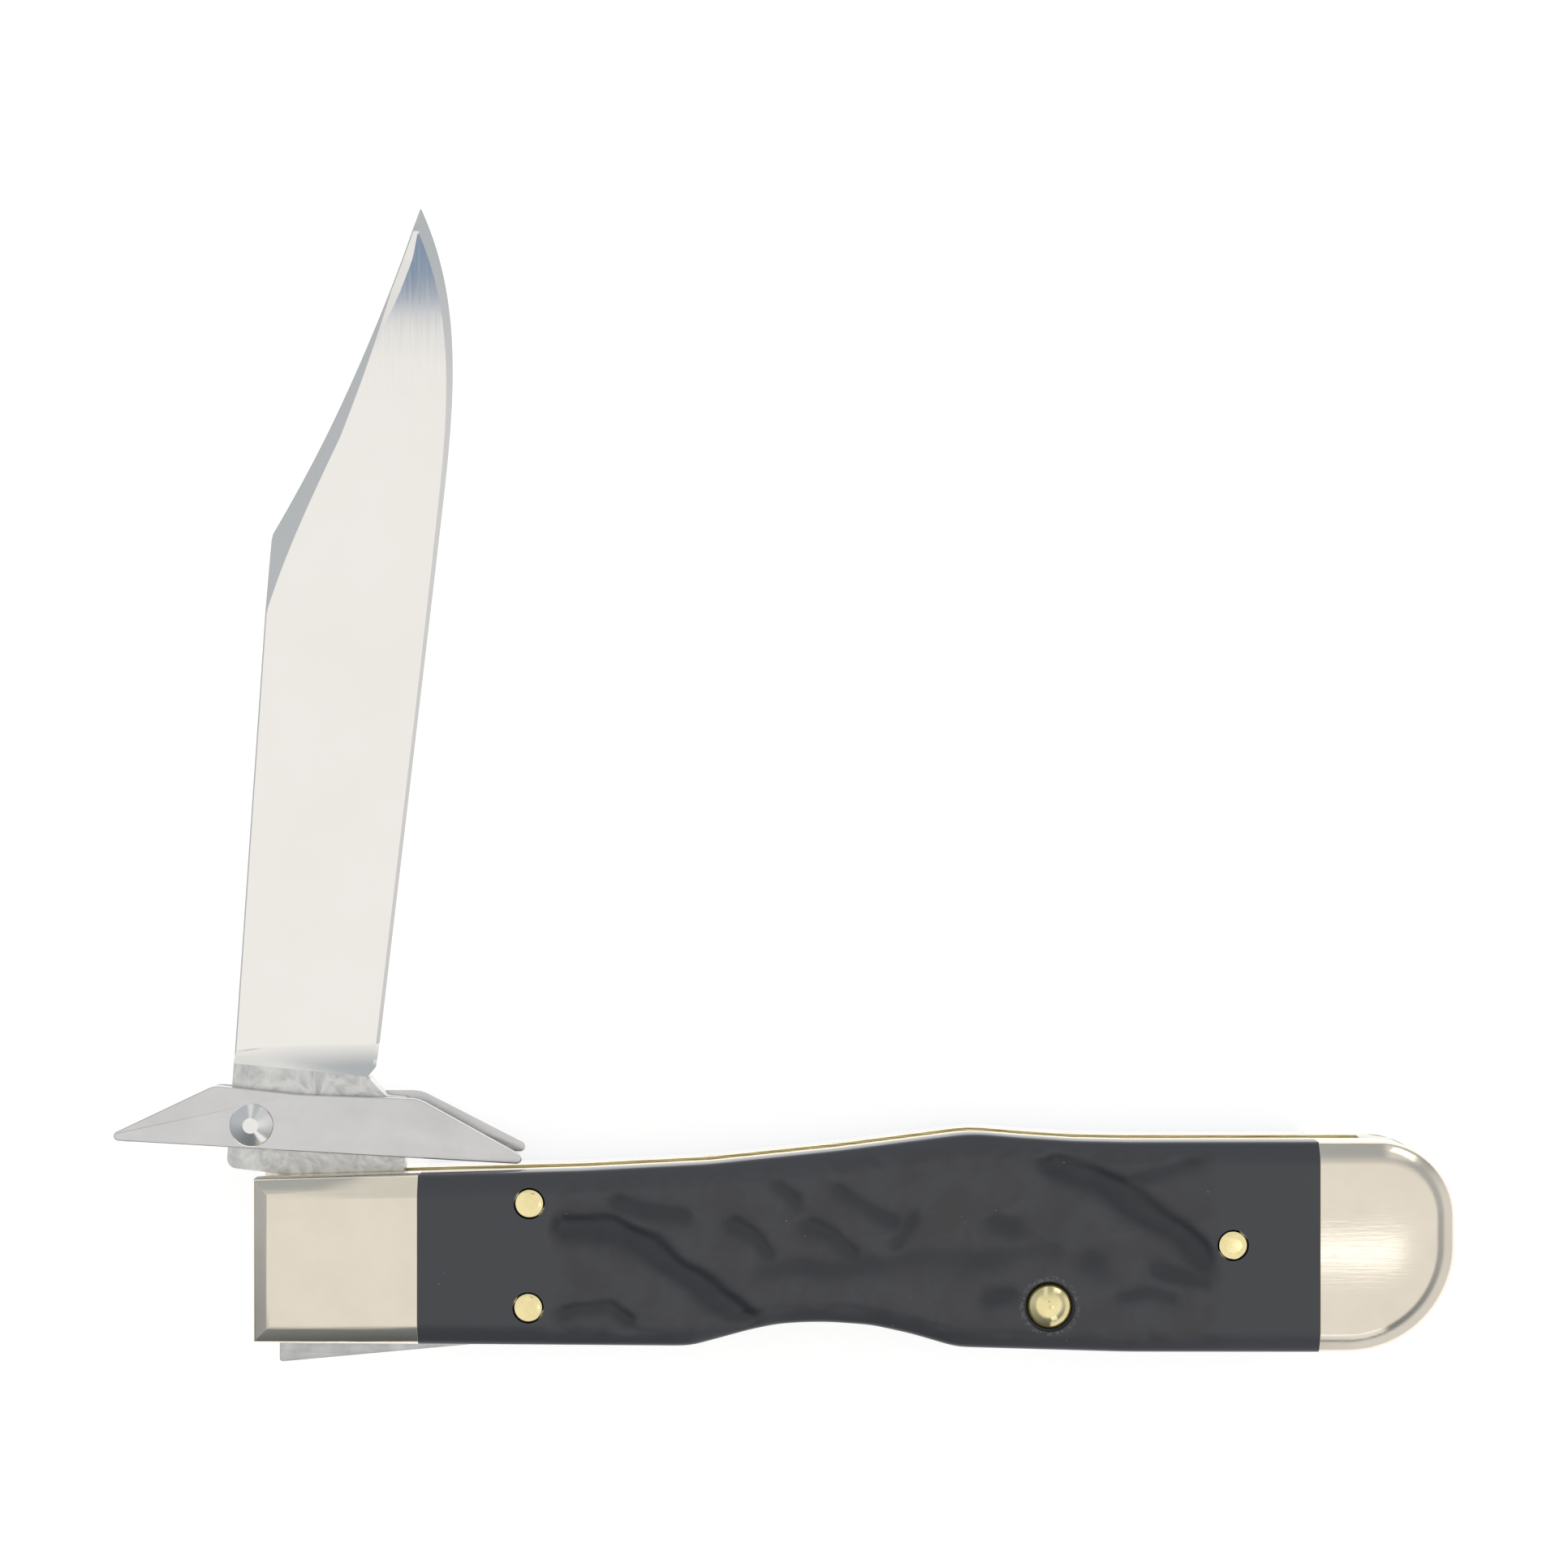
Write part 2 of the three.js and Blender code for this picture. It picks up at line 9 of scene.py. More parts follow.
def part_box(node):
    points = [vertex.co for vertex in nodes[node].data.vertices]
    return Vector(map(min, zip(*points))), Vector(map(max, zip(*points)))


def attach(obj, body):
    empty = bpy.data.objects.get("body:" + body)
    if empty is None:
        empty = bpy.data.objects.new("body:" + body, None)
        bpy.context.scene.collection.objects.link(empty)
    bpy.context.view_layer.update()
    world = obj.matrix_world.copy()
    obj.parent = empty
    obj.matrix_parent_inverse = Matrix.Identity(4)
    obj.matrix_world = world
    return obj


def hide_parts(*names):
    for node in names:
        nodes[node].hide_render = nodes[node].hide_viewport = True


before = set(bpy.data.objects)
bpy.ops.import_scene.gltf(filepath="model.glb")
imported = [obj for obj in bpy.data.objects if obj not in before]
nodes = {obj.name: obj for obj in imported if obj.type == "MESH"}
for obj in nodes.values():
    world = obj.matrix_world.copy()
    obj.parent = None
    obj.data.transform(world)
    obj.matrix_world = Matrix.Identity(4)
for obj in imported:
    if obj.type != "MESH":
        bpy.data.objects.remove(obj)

bpy.ops.object.select_all(action="DESELECT")
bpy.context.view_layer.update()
scene = bpy.context.scene
scene.view_settings.view_transform = "Standard"
mm = 0.001


# Camera. The knife lies flat on the table and is seen from straight above, from about a third
# of a metre, so the mouth side of the handle shows as a thin band along its upper edge.
camera_data = bpy.data.cameras.new("camera")
camera_data.sensor_width = 36
camera_data.lens = 83.85
camera_data.clip_start = 0.01
camera = bpy.data.objects.new("camera", camera_data)
camera.location = (42.29 * mm, 41.59 * mm, 349.4 * mm)
scene.collection.objects.link(camera)
scene.camera = camera


# Table and studio light. The table is plain white and keeps a trace of the knife's shadow. The
# polished metal shows the room: a white ceiling, grey walls, a grey screen at the back, the hood
# of the camera's stand, a window, a skylight and two of the four soft boxes.
knife_middle = Vector((45 * mm, 35 * mm, 0))
box_distance = 1.1


def new_material(name):
    """A material with no nodes but its output."""
    material = bpy.data.materials.new(name)
    material.use_nodes = True
    tree = material.node_tree
    tree.nodes.remove(tree.nodes["Principled BSDF"])
    return material, tree


def node(tree, kind, **settings):
    """Adds a shader node and sets its properties and inputs."""
    made = tree.nodes.new(kind)
    for key, value in settings.items():
        if key in made.inputs:
            made.inputs[key].default_value = value
        else:
            setattr(made, key, value)
    return made


def mixed(tree, factor, first, second):
    """Mixes two colours, each a socket or a plain colour, by a factor socket."""
    mix = node(tree, "ShaderNodeMix", data_type="RGBA", blend_type="MIX")
    tree.links.new(factor, mix.inputs["Factor"])
    for place, colour in ((6, first), (7, second)):
        if isinstance(colour, tuple):
            mix.inputs[place].default_value = colour
        else:
            tree.links.new(colour, mix.inputs[place])
    return mix.outputs[2]


def between(tree, value, low, high):
    """A smooth step of a value socket: 0 at low, 1 at high."""
    step = node(tree, "ShaderNodeMapRange", interpolation_type="SMOOTHSTEP")
    step.inputs["From Min"].default_value = low
    step.inputs["From Max"].default_value = high
    tree.links.new(value, step.inputs["Value"])
    return step.outputs[0]


def ranged(tree, value, low, high, to_low, to_high):
    """Maps a value socket from one range to another."""
    mapped = node(tree, "ShaderNodeMapRange")
    for key, number in (("From Min", low), ("From Max", high), ("To Min", to_low), ("To Max", to_high)):
        mapped.inputs[key].default_value = number
    tree.links.new(value, mapped.inputs["Value"])
    return mapped.outputs[0]


def product(tree, first, *others):
    """Product of value sockets."""
    for other in others:
        times = node(tree, "ShaderNodeMath", operation="MULTIPLY")
        tree.links.new(first, times.inputs[0])
        tree.links.new(other, times.inputs[1])
        first = times.outputs[0]
    return first


def patched(tree, room, colour, *limits):
    """The room with a soft patch of colour. A limit is a direction and both ends of its edge."""
    inside = product(tree, *[between(tree, *limit) for limit in limits])
    return mixed(tree, inside, room, colour)


bpy.ops.mesh.primitive_plane_add(size=4, location=(42 * mm, 40 * mm, -0.06 * mm))
table = bpy.context.active_object
table.name = "table"
table_paint, tree = new_material("white_table")
ray = node(tree, "ShaderNodeLightPath")
diffuse = node(tree, "ShaderNodeBsdfDiffuse", Color=(0.45, 0.45, 0.45, 1))
nothing = node(tree, "ShaderNodeEmission", Color=(0, 0, 0, 1), Strength=0)
glow = node(tree, "ShaderNodeEmission", Color=(1, 1, 1, 1), Strength=0.73)
white = node(tree, "ShaderNodeEmission", Color=(1, 1, 1, 1), Strength=1.4)
lift = node(tree, "ShaderNodeMixShader")
both = node(tree, "ShaderNodeAddShader")
in_metal = node(tree, "ShaderNodeMath", operation="ADD", use_clamp=True)
shown = node(tree, "ShaderNodeMixShader")
tree.links.new(ray.outputs["Is Camera Ray"], lift.inputs["Fac"])
tree.links.new(nothing.outputs[0], lift.inputs[1])
tree.links.new(glow.outputs[0], lift.inputs[2])
tree.links.new(diffuse.outputs[0], both.inputs[0])
tree.links.new(lift.outputs[0], both.inputs[1])
tree.links.new(ray.outputs["Is Glossy Ray"], in_metal.inputs[0])
tree.links.new(ray.outputs["Is Transmission Ray"], in_metal.inputs[1])
tree.links.new(in_metal.outputs[0], shown.inputs["Fac"])
tree.links.new(both.outputs[0], shown.inputs[1])
tree.links.new(white.outputs[0], shown.inputs[2])
tree.links.new(shown.outputs[0], tree.nodes["Material Output"].inputs["Surface"])
table.data.materials.append(table_paint)

world = bpy.data.worlds.new("studio")
scene.world = world
world.use_nodes = True
tree = world.node_tree
direction = node(tree, "ShaderNodeTexCoord")
split = node(tree, "ShaderNodeSeparateXYZ")
tree.links.new(direction.outputs["Generated"], split.inputs[0])
to_right, to_back, upward = split.outputs
walls = node(tree, "ShaderNodeValToRGB")
walls.color_ramp.elements[0].color = (0.12, 0.14, 0.15, 1)
walls.color_ramp.elements[1].color = (0.62, 0.65, 0.69, 1)
walls.color_ramp.elements.new(0.5).color = (0.55, 0.58, 0.61, 1)
tree.links.new(ranged(tree, to_back, -1, 1, 0, 1), walls.inputs["Fac"])
skirting = (0.14, 0.15, 0.16, 1)
room = patched(tree, skirting, walls.outputs["Color"], (upward, 0.02, 0.30))
patches = {
    "ceiling": ((1.03, 1.02, 1.0, 1), (upward, 0.70, 0.84)),
    "lit_side": ((0.90, 0.90, 0.90, 1), (to_right, 0.03, 0.16), (upward, 0.62, 0.46),
                 (to_back, 0.60, 0.40)),
    "screen": ((0.50, 0.54, 0.57, 1), (to_back, 0.06, 0.80)),
    "hood": ((0.24, 0.33, 0.46, 1), (to_back, 0.113, 0.117), (to_back, 0.175, 0.165),
             (to_right, -0.030, -0.012), (to_right, 0.070, 0.050)),
    "window": ((0.88, 0.89, 0.90, 1), (to_right, 0.18, 0.30), (to_right, 0.75, 0.60),
               (to_back, 0.50, 0.60), (upward, 0.12, 0.24)),
    "skylight": ((2.10, 2.10, 2.08, 1), (to_right, 0.110, 0.150), (to_right, 0.265, 0.225),
                 (to_back, -0.175, -0.145), (to_back, -0.095, -0.115)),
    "pale_corner": ((0.86, 0.88, 0.87, 1), (to_right, -0.02, -0.07), (to_right, -0.30, -0.22),
                    (to_back, 0.16, 0.26)),
}
for colour, *limits in patches.values():
    room = patched(tree, room, colour, *limits)
ray = node(tree, "ShaderNodeLightPath")
room = mixed(tree, ray.outputs["Is Camera Ray"], room, (1, 1, 1, 1))
tree.links.new(room, tree.nodes["Background"].inputs["Color"])


def soft_box(name, azimuth, elevation, size, power, mirrored):
    """A square lamp that faces the knife. The metal shows it only where mirrored is set."""
    lamp_data = bpy.data.lights.new(name, "AREA")
    lamp_data.size = size
    lamp_data.energy = power
    lamp = bpy.data.objects.new(name, lamp_data)
    turn, rise = math.radians(azimuth), math.radians(elevation)
    away = Vector((math.cos(turn) * math.cos(rise), math.sin(turn) * math.cos(rise), math.sin(rise)))
    lamp.location = knife_middle + away * box_distance
    lamp.rotation_euler = away.to_track_quat("Z", "Y").to_euler()
    lamp.visible_glossy = mirrored
    scene.collection.objects.link(lamp)


soft_box("box_back", 54, 27, 0.38, 0.45, True)
soft_box("box_left", 225, 42, 0.46, 0.58, False)
soft_box("box_front", 292, 43, 0.30, 0.22, True)
soft_box("box_corner", 128, 38, 0.50, 0.56, False)


# Liners. Two sheets of brass, 0.9 mm thick, that carry the whole handle. They are stamped,
# ground flush with the covers all round and held by the pins that go through them.
brass_light = (0.90, 0.80, 0.52, 1)
brass_dark = (0.80, 0.69, 0.41, 1)


def fine_scratches():
    """Shader group: long fine scratches along X, and a soft cloud over the whole surface."""
    group = bpy.data.node_groups.new("fine_scratches", "ShaderNodeTree")
    sockets = group.interface
    sockets.new_socket("Vector", in_out="INPUT", socket_type="NodeSocketVector")
    for name, value in (("Stretch", 0.02), ("Fineness", 9000.0), ("Cloud Size", 260.0), ("Swirl", 0.0)):
        socket = sockets.new_socket(name, in_out="INPUT", socket_type="NodeSocketFloat")
        socket.default_value = value
    sockets.new_socket("Lines", in_out="OUTPUT", socket_type="NodeSocketFloat")
    sockets.new_socket("Cloud", in_out="OUTPUT", socket_type="NodeSocketFloat")
    entry = node(group, "NodeGroupInput")
    leave = node(group, "NodeGroupOutput")
    squeeze = node(group, "ShaderNodeCombineXYZ", Y=1.0, Z=1.0)
    stretched = node(group, "ShaderNodeVectorMath", operation="MULTIPLY")
    lines = node(group, "ShaderNodeTexNoise", Detail=3.0, Roughness=0.65)
    cloud = node(group, "ShaderNodeTexNoise", Detail=3.0, Roughness=0.55)
    group.links.new(entry.outputs["Stretch"], squeeze.inputs["X"])
    group.links.new(entry.outputs["Vector"], stretched.inputs[0])
    group.links.new(squeeze.outputs[0], stretched.inputs[1])
    group.links.new(stretched.outputs[0], lines.inputs["Vector"])
    group.links.new(entry.outputs["Fineness"], lines.inputs["Scale"])
    group.links.new(entry.outputs["Vector"], cloud.inputs["Vector"])
    group.links.new(entry.outputs["Cloud Size"], cloud.inputs["Scale"])
    group.links.new(entry.outputs["Swirl"], cloud.inputs["Distortion"])
    group.links.new(lines.outputs["Fac"], leave.inputs["Lines"])
    group.links.new(cloud.outputs["Fac"], leave.inputs["Cloud"])
    return group


scratches = fine_scratches()


def metal(name, light, dark, roughness, turn=0.0, stretch=0.02, fineness=9000.0,
          cloud_size=260.0, swirl=0.0, contrast=0.06, relief=0.02):
    """A ground or polished metal with fine lines along one direction and a faint cloud."""
    material, tree = new_material(name)
    shader = node(tree, "ShaderNodeBsdfPrincipled", Metallic=1.0)
    place = node(tree, "ShaderNodeTexCoord")
    turned_place = node(tree, "ShaderNodeMapping", Rotation=(0, 0, math.radians(turn)))
    surface = node(tree, "ShaderNodeGroup", node_tree=scratches)
    surface.inputs["Stretch"].default_value = stretch
    surface.inputs["Fineness"].default_value = fineness
    surface.inputs["Cloud Size"].default_value = cloud_size
    surface.inputs["Swirl"].default_value = swirl
    colour = node(tree, "ShaderNodeValToRGB")
    colour.color_ramp.elements[0].position = 0.3
    colour.color_ramp.elements[0].color = dark
    colour.color_ramp.elements[1].position = 0.62
    colour.color_ramp.elements[1].color = light
    sheen = ranged(tree, surface.outputs["Lines"], 0.3, 0.7, roughness - contrast, roughness + contrast)
    bump = node(tree, "ShaderNodeBump", Strength=1.0, Distance=relief * mm)
    tree.links.new(place.outputs["Object"], turned_place.inputs["Vector"])
    tree.links.new(turned_place.outputs[0], surface.inputs["Vector"])
    tree.links.new(surface.outputs["Cloud"], colour.inputs["Fac"])
    tree.links.new(surface.outputs["Lines"], bump.inputs["Height"])
    tree.links.new(colour.outputs["Color"], shader.inputs["Base Color"])
    tree.links.new(sheen, shader.inputs["Roughness"])
    tree.links.new(bump.outputs[0], shader.inputs["Normal"])
    tree.links.new(shader.outputs[0], tree.nodes["Material Output"].inputs["Surface"])
    return material


def cleaned_copy(name):
    """A copy of a CAD node with its triangles merged into flat faces."""
    piece = nodes[name].copy()
    piece.data = nodes[name].data.copy()
    piece.parent = None
    for key in list(piece.keys()):
        del piece[key]
    scene.collection.objects.link(piece)
    bpy.ops.object.select_all(action="DESELECT")
    piece.select_set(True)
    bpy.context.view_layer.objects.active = piece
    piece.data.materials.clear()
    bpy.ops.mesh.customdata_custom_splitnormals_clear()
    bpy.ops.object.mode_set(mode="EDIT")
    bpy.ops.mesh.select_all(action="SELECT")
    bpy.ops.mesh.remove_doubles(threshold=0.002 * mm)
    bpy.ops.mesh.dissolve_limited(angle_limit=math.radians(0.5))
    bpy.ops.object.mode_set(mode="OBJECT")
    return piece


def soften_edges(piece, width, steps=2, angle=30):
    """Rounds every sharp edge by a hair, as handling and buffing do."""
    bevel = piece.modifiers.new("softened", "BEVEL")
    bevel.width = width * mm
    bevel.segments = steps
    bevel.limit_method = "ANGLE"
    bevel.angle_limit = math.radians(angle)
    bevel.use_clamp_overlap = True
    bpy.ops.object.select_all(action="DESELECT")
    piece.select_set(True)
    bpy.context.view_layer.objects.active = piece
    bpy.ops.object.modifier_apply(modifier=bevel.name)
    bpy.ops.object.shade_smooth_by_angle(angle=math.radians(angle))


def fit(piece, name, body, material, slot, *replaced):
    """Names a finished piece, gives it its material, hides the CAD nodes that it replaces and hangs it
    on the body that it moves with.
    """
    bpy.ops.object.select_all(action="DESELECT")
    piece.select_set(True)
    bpy.context.view_layer.objects.active = piece
    bpy.ops.object.transform_apply(location=True, rotation=True, scale=True)
    bpy.context.scene.cursor.location = (0, 0, 0)
    bpy.ops.object.origin_set(type="ORIGIN_CURSOR")
    piece.name = name
    piece.data.name = name
    piece.data.materials.clear()
    piece.data.materials.append(material)
    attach(piece, body)
    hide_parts(*replaced)
    bpy.ops.object.select_all(action="DESELECT")


brass = metal("ground_brass", brass_light, brass_dark, 0.26, contrast=0.05)
for side in ("far", "near"):
    sheet = cleaned_copy(f"liner_{side}")
    soften_edges(sheet, 0.05, 1)
    fit(sheet, f"brass_liner_{side}", "handle", brass, "brass", f"liner_{side}")


# Bolsters. Cast and polished nickel silver caps at both ends of the handle, one on each liner.
# Their outer edges are rounded over by buffing, and they meet the scales in a fine straight line.
nickel_light = (0.735, 0.675, 0.58, 1)
nickel_dark = (0.70, 0.635, 0.535, 1)
rim_width = 2.1
rim_depth = 1.1
rim_profile = 0.37
rim_steps = 14
# The front bolster's free end, from its back to the mouth
front_end = (-10.05, 5.05)
butt_back_radius = 9.9
butt_mouth_radius = 7.0
butt_steps = 28
nickel_silver = metal("polished_nickel_silver", nickel_light, nickel_dark, 0.11, stretch=0.05,
                      fineness=5200.0, cloud_size=180.0, contrast=0.03, relief=0.004)


def select_edges(mesh, wanted):
    """Selects the edges of an edit mesh whose two ends pass a test."""
    for edge in mesh.edges:
        edge.select = all(wanted(vertex.co / mm) for vertex in edge.verts)
    mesh.select_flush_mode()


def bolster(name, place, side):
    """A cap shaped from a block: ends rounded in plan, then its rim rounded over."""
    low, high = [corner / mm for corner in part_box(name)]
    bpy.ops.mesh.primitive_cube_add(size=1, location=(low + high) / 2 * mm, scale=(high - low) * mm)
    piece = bpy.context.active_object
    bpy.ops.object.transform_apply(location=True, rotation=True, scale=True)
    bpy.ops.object.mode_set(mode="EDIT")
    mesh = bmesh.from_edit_mesh(piece.data)
    outer = high.z if side == "near" else low.z
    if place == "front":
        joint, free = high.x, low.x
        for vertex in mesh.verts:
            if abs(vertex.co.x / mm - free) < 0.1:
                vertex.co.y = front_end[vertex.co.y > 0] * mm
    else:
        joint, free = low.x, high.x
        for y, radius in ((low.y, butt_back_radius), (high.y, butt_mouth_radius)):
            bpy.ops.mesh.select_mode(type="EDGE")
            select_edges(mesh, lambda co, y=y: abs(co.x - free) < 0.01 and abs(co.y - y) < 0.01)
            bpy.ops.mesh.bevel(offset=radius * mm, segments=butt_steps, profile=0.5, affect="EDGES")
            mesh = bmesh.from_edit_mesh(piece.data)
    bpy.ops.mesh.select_mode(type="EDGE")
    for edge in mesh.edges:
        ends = [vertex.co / mm for vertex in edge.verts]
        on_rim = all(abs(co.z - outer) < 0.01 for co in ends)
        at_joint = all(abs(co.x - joint) < 0.01 for co in ends)
        edge.select = on_rim and not at_joint
    mesh.select_flush_mode()
    bmesh.update_edit_mesh(piece.data)
    rim = [edge.index for edge in mesh.edges if edge.select]
    stretch = rim_width / rim_depth
    bpy.ops.mesh.select_all(action="SELECT")
    bpy.ops.transform.resize(value=(1, 1, stretch), center_override=(0, 0, outer * mm))
    bpy.ops.mesh.select_all(action="DESELECT")
    mesh = bmesh.from_edit_mesh(piece.data)
    mesh.edges.ensure_lookup_table()
    for index in rim:
        mesh.edges[index].select = True
    mesh.select_flush_mode()
    bpy.ops.mesh.bevel(offset=rim_width * mm, segments=rim_steps, profile=rim_profile, affect="EDGES")
    bpy.ops.mesh.select_all(action="SELECT")
    bpy.ops.transform.resize(value=(1, 1, 1 / stretch), center_override=(0, 0, outer * mm))
    bpy.ops.mesh.remove_doubles(threshold=0.001 * mm)
    bpy.ops.mesh.normals_make_consistent(inside=False)
    bpy.ops.object.mode_set(mode="OBJECT")
    soften_edges(piece, 0.05, 1)
    fit(piece, f"bolster_{place}_{side}", "handle", nickel_silver, "nickel_silver", name)


for side in ("far", "near"):
    for place in ("front", "rear"):
        bolster(f"{place}_bolster_{side}", place, side)


# Scales. Black covers of moulded handle material between the bolsters, cut with flowing
# worm-like grooves by a jigging tool, then buffed, so that the ridges shine softly.
scale_colour = (0.046, 0.047, 0.054, 1)
scale_mottle = (0.033, 0.032, 0.036, 1)
# Colour of the grooves: painted shade, mixed in by how deep the carving goes
scale_groove_shade = (0.024, 0.026, 0.031, 1)
scale_chatter = (0.10, 0.10, 0.10, 1)
scale_speck = (0.35, 0.35, 0.36, 1)
outline_blur = 0.7
column_step = 0.25
row_count = 66
rim_crowding = 0.62
outline_height = 0.5
rim_power = math.log(2) / -math.log(math.sqrt(rim_profile))
# Each groove: its path, width and depth in mm
grooves = (
    (((21.6, 0.8), (26.7, 0.9), (29.9, -0.8), (32.8, -3.2), (35.2, -4.8), (37.4, -6.4), (38.9, -8.2)),
     1.15, 0.42),
    (((20.5, -7.7), (23.2, -6.8), (26.2, -6.6), (28.0, -8.0)), 0.7, 0.25),
    (((27.2, 3.0), (29.9, 2.2), (32.8, 1.8)), 0.8, 0.22),
    (((37.6, 0.9), (40.0, -0.5), (40.9, -1.8)), 0.8, 0.25),
    (((41.7, 4.6), (43.3, 3.3)), 0.7, 0.2),
    (((44.6, 0.9), (46.8, -0.1), (48.7, -1.8)), 0.8, 0.24),
    (((47.5, 4.1), (50.0, 2.5), (52.4, 1.4)), 0.8, 0.22),
    (((54.3, 1.4), (52.6, -0.8)), 0.7, 0.2),
    (((40.3, -3.4), (43.6, -2.9), (47.0, -3.2), (50.0, -2.5), (55.3, -2.2), (59.8, -2.4), (67.3, -1.3)),
     0.9, 0.16),
    (((67.4, 6.7), (71.2, 5.4), (73.8, 3.8), (76.3, 2.2), (79.0, 0.2), (81.2, -2.3), (82.5, -3.6)),
     1.25, 0.42),
    (((81.2, -4.4), (77.0, -3.3)), 0.9, 0.25),
    (((74.2, 4.8), (79.9, 7.0)), 0.8, 0.2),
    (((73.5, -5.5), (75.5, -5.1), (78.0, -5.8)), 0.7, 0.2),
    (((70.3, -2.6), (71.4, -2.9)), 1.2, 0.22),
    (((62.0, 1.2), (63.6, 0.8)), 1.0, 0.2),
    (((61.0, -5.8), (63.0, -5.4)), 0.9, 0.2),
)
# The shares of its width that a groove's steep and gentle banks take, and how much it is deepened
steep_bank = 0.9
gentle_bank = 1.3
deepening = 1.2
hill_height = 0.16
dimple_height = 0.05
carved_from = 20.0
carved_to = 83.0
carving_fade = 2.2


def distance_to_path(x, y, path):
    """Distance from points to a path of straight runs, and the side that they lie on."""
    nearest = np.full(x.shape, 1e9)
    side = np.zeros(x.shape)
    for (ax, ay), (bx, by) in zip(path[:-1], path[1:]):
        along = ((x - ax) * (bx - ax) + (y - ay) * (by - ay)) / ((bx - ax) ** 2 + (by - ay) ** 2)
        along = np.clip(along, 0, 1)
        dx = x - (ax + along * (bx - ax))
        dy = y - (ay + along * (by - ay))
        away = np.hypot(dx, dy)
        closer = away < nearest
        nearest = np.where(closer, away, nearest)
        side = np.where(closer, np.sign((bx - ax) * dy - (by - ay) * dx), side)
    return nearest, side


def smooth_noise(x, y, length, across, seed):
    """Soft random hills between -1 and 1, longer along the handle than across it."""
    return np.array([
        noise.noise(Vector((px / length + seed, py / across, seed * 0.37)))
        for px, py in zip(x.ravel(), y.ravel())
    ]).reshape(x.shape)


def carving(x, y, mirrored):
    """Depth in mm that the jigging takes off the flat of a scale."""
    if mirrored:
        x = carved_from + carved_to - x
    bend_x = x + 0.5 * smooth_noise(x, y, 5.0, 4.0, 3.1)
    bend_y = y + 0.4 * smooth_noise(x, y, 4.0, 3.0, 7.7)
    depth = np.zeros(x.shape)
    for path, width, cut in grooves:
        away, side = distance_to_path(bend_x, bend_y, path)
        reach = np.where(side > 0, width * steep_bank, width * gentle_bank)
        depth = np.maximum(depth, deepening * cut * np.exp(-((away / reach) ** 2)))
    hills = 0.5 + 0.5 * smooth_noise(x, y, 4.2, 2.2, 12.3)
    dimples = 0.5 + 0.5 * smooth_noise(x, y, 1.7, 1.2, 21.9)
    depth = depth + hill_height * hills + dimple_height * dimples
    fade = np.clip((x - carved_from) / carving_fade, 0, 1)
    fade = fade * np.clip((carved_to - x) / carving_fade, 0, 1)
    return depth * fade * fade * (3 - 2 * fade)


def feel(name, x, z, upper):
    """Where a ray along Y meets the CAD node's outer wall, in mm."""
    start = Vector((x, 40 if upper else -40, z)) * mm
    hit, spot, _, _ = nodes[name].ray_cast(start, Vector((0, -1 if upper else 1, 0)))
    if not hit:
        raise RuntimeError(f"no wall of {name} at {x}")
    return spot.y / mm


def blurred(heights):
    """Heights along the handle with the small corners of the CAD outline smoothed out."""
    reach = round(3 * outline_blur / column_step)
    steps = np.arange(-reach, reach + 1) * column_step
    weights = np.exp(-0.5 * (steps / outline_blur) ** 2)
    before = 2 * heights[0] - np.array(heights[reach:0:-1])
    after = 2 * heights[-1] - np.array(heights[-2:-reach - 2:-1])
    return np.convolve(np.concatenate([before, heights, after]), weights / weights.sum(), "valid")


def carved_scale(side):
    """A cover from a fine grid drawn out to the handle's outline, with its carving cut in."""
    name = f"scale_{side}"
    low, high = [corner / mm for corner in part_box(name)]
    outer, inner = (high.z, low.z) if side == "near" else (low.z, high.z)
    out = 1 if side == "near" else -1
    columns = round((high.x - low.x) / column_step)
    bpy.ops.mesh.primitive_grid_add(x_subdivisions=columns, y_subdivisions=row_count, size=1)
    piece = bpy.context.active_object
    grid = np.empty(len(piece.data.vertices) * 3)
    piece.data.vertices.foreach_get("co", grid)
    grid = grid.reshape(-1, 3)
    x = low.x + (grid[:, 0] + 0.5) * (high.x - low.x)
    share = grid[:, 1] + 0.5
    stations = np.linspace(low.x, high.x, columns + 1)
    inside = np.clip(stations, low.x + 0.01, high.x - 0.01)
    wall = inner + out * outline_height
    bottom = np.interp(x, stations, blurred([feel(name, s, wall, False) for s in inside]))
    top = np.interp(x, stations, blurred([feel(name, s, wall, True) for s in inside]))
    eased = 0.5 - 0.5 * np.cos(np.pi * share)
    share = rim_crowding * eased + (1 - rim_crowding) * share
    y = bottom + share * (top - bottom)
    rim = np.clip(np.minimum(y - bottom, top - y) / rim_width, 0, 1)
    drop = rim_depth * (1 - (1 - (1 - rim) ** rim_power) ** (1 / rim_power))
    cut = carving(x, y, side == "far") * np.clip(rim * 1.6 - 0.2, 0, 1)
    mark = piece.data.attributes.new("cut", "FLOAT", "POINT")
    mark.data.foreach_set("value", cut)
    z = outer - out * (drop + cut)
    piece.data.vertices.foreach_set("co", (np.stack([x, y, z], 1) * mm).ravel())
    bpy.ops.object.mode_set(mode="EDIT")
    bpy.ops.mesh.select_mode(type="EDGE")
    bpy.ops.mesh.select_all(action="DESELECT")
    bpy.ops.mesh.select_non_manifold()
    bpy.ops.mesh.extrude_region_move()
    bpy.ops.transform.resize(value=(1, 1, 0), center_override=(0, 0, inner * mm))
    bpy.ops.mesh.edge_face_add()
    bpy.ops.mesh.select_all(action="SELECT")
    bpy.ops.mesh.normals_make_consistent(inside=False)
    bpy.ops.object.mode_set(mode="OBJECT")
    return piece


